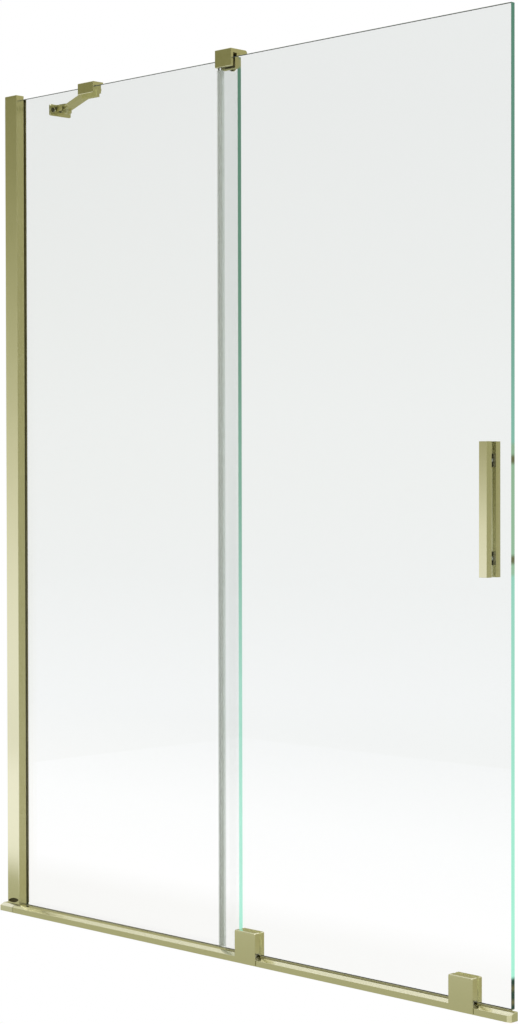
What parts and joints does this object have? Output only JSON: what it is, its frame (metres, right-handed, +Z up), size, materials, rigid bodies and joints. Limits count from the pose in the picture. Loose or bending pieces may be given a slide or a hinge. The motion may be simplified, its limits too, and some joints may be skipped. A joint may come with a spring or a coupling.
{
  "type": "sliding bath screen",
  "caption": "Extended two-pane sliding bath screen: fixed glass in a wall profile, a rolling glass pane on a low rim rail, top guide, wall brace and bar handle.",
  "frame": {"origin": "on the wall plane at bath rim height, 19.5 mm behind the front face of the wall profile", "axes": "+X from the wall along the rail, +Y into the bath (the brace's side), -Y out of the bath (the rail's side), +Z up"},
  "size_m": [1.1973, 0.1826, 1.5054],
  "materials": {
    "gold_profile": "satin-polished champagne gold anodised",
    "gold_fitting": "polished champagne gold plated",
    "clear_glass": "clear toughened, green edge",
    "clear_seal": "clear flexible vinyl",
    "dark_plastic": "black moulded",
    "grey_gasket": "grey flexible",
    "white_nylon": "white nylon",
    "steel": "stainless"
  },
  "bodies": {
    "screen_frame": {"wall_profile": "gold_profile", "glass_profile": "gold_profile", "profile_cap": "gold_fitting", "profile_foot_plug": "dark_plastic", "profile_gaskets": "grey_gasket", "adjusting_screws": "steel", "fixed_glass": "clear_glass", "setting_block": "dark_plastic", "fixed_pane_seal": "clear_seal", "bottom_rail": "gold_profile", "rail_end_block": "gold_fitting", "rail_end_cap": "gold_fitting", "rail_seal_strips": "grey_gasket", "rail_stops": "white_nylon", "guide_body": "gold_fitting", "guide_liner": "white_nylon", "guide_pads": "grey_gasket", "guide_clamp_disc": "gold_fitting", "guide_screw": "steel", "brace_clamp": "gold_fitting", "brace_clamp_pads": "grey_gasket", "brace_clamp_screws": "steel", "brace_clamp_pin": "gold_fitting"},
    "brace_arm_body": {"brace_arm": "gold_fitting"},
    "brace_foot_body": {"brace_foot": "gold_fitting", "brace_foot_pin": "gold_fitting"},
    "sliding_panel": {"sliding_glass": "clear_glass", "overlap_seal": "clear_seal", "bottom_wiper": "clear_seal", "outer_handle_bar": "gold_fitting", "inner_handle_bar": "gold_fitting", "handle_pads": "dark_plastic", "handle_sleeves": "white_nylon", "handle_studs": "steel", "left_carriage_housing": "gold_fitting", "left_carriage_back": "gold_fitting", "left_carriage_gaskets": "grey_gasket", "left_carriage_bolts": "steel", "left_carriage_glide": "white_nylon", "left_axles": "steel", "right_carriage_housing": "gold_fitting", "right_carriage_back": "gold_fitting", "right_carriage_gaskets": "grey_gasket", "right_carriage_bolts": "steel", "right_carriage_glide": "white_nylon", "right_axles": "steel"},
    "left_wheel_body_1": {"left_wheel_1": "white_nylon", "left_bearing_1": "steel"},
    "left_wheel_body_2": {"left_wheel_2": "white_nylon", "left_bearing_2": "steel"},
    "right_wheel_body_1": {"right_wheel_1": "white_nylon", "right_bearing_1": "steel"},
    "right_wheel_body_2": {"right_wheel_2": "white_nylon", "right_bearing_2": "steel"}
  },
  "joints": [
    {"name": "panel_slide", "type": "slide", "parent": "screen_frame", "child": "sliding_panel", "axis": [1, 0, 0], "range_m": [-0.52, 0]},
    {"name": "arm_swivel", "type": "hinge", "parent": "screen_frame", "child": "brace_arm_body", "pos_m": [0.222, 0.0225, 1.494], "axis": [0, 0, 1], "range_deg": [-50, 0]},
    {"name": "foot_swivel", "type": "hinge", "parent": "brace_arm_body", "child": "brace_foot_body", "pos_m": [0.022, 0.123, 1.494], "axis": [0, 0, 1], "range_deg": [-30, 30]},
    {"name": "left_wheel_spin_1", "type": "hinge", "parent": "sliding_panel", "child": "left_wheel_body_1", "pos_m": [0.6349, -0.0165, 0.02205], "axis": [0, 1, 0], "continuous": true},
    {"name": "left_wheel_spin_2", "type": "hinge", "parent": "sliding_panel", "child": "left_wheel_body_2", "pos_m": [0.6558, -0.0165, 0.02205], "axis": [0, 1, 0], "continuous": true},
    {"name": "right_wheel_spin_1", "type": "hinge", "parent": "sliding_panel", "child": "right_wheel_body_1", "pos_m": [1.0928, -0.0165, 0.02205], "axis": [0, 1, 0], "continuous": true},
    {"name": "right_wheel_spin_2", "type": "hinge", "parent": "sliding_panel", "child": "right_wheel_body_2", "pos_m": [1.1137, -0.0165, 0.02205], "axis": [0, 1, 0], "continuous": true}
  ],
  "couplings": [
    {"joint": "left_wheel_spin_1", "follows": "panel_slide", "rad_per_m": 125},
    {"joint": "left_wheel_spin_2", "follows": "panel_slide", "rad_per_m": 125},
    {"joint": "right_wheel_spin_1", "follows": "panel_slide", "rad_per_m": 125},
    {"joint": "right_wheel_spin_2", "follows": "panel_slide", "rad_per_m": 125}
  ]
}
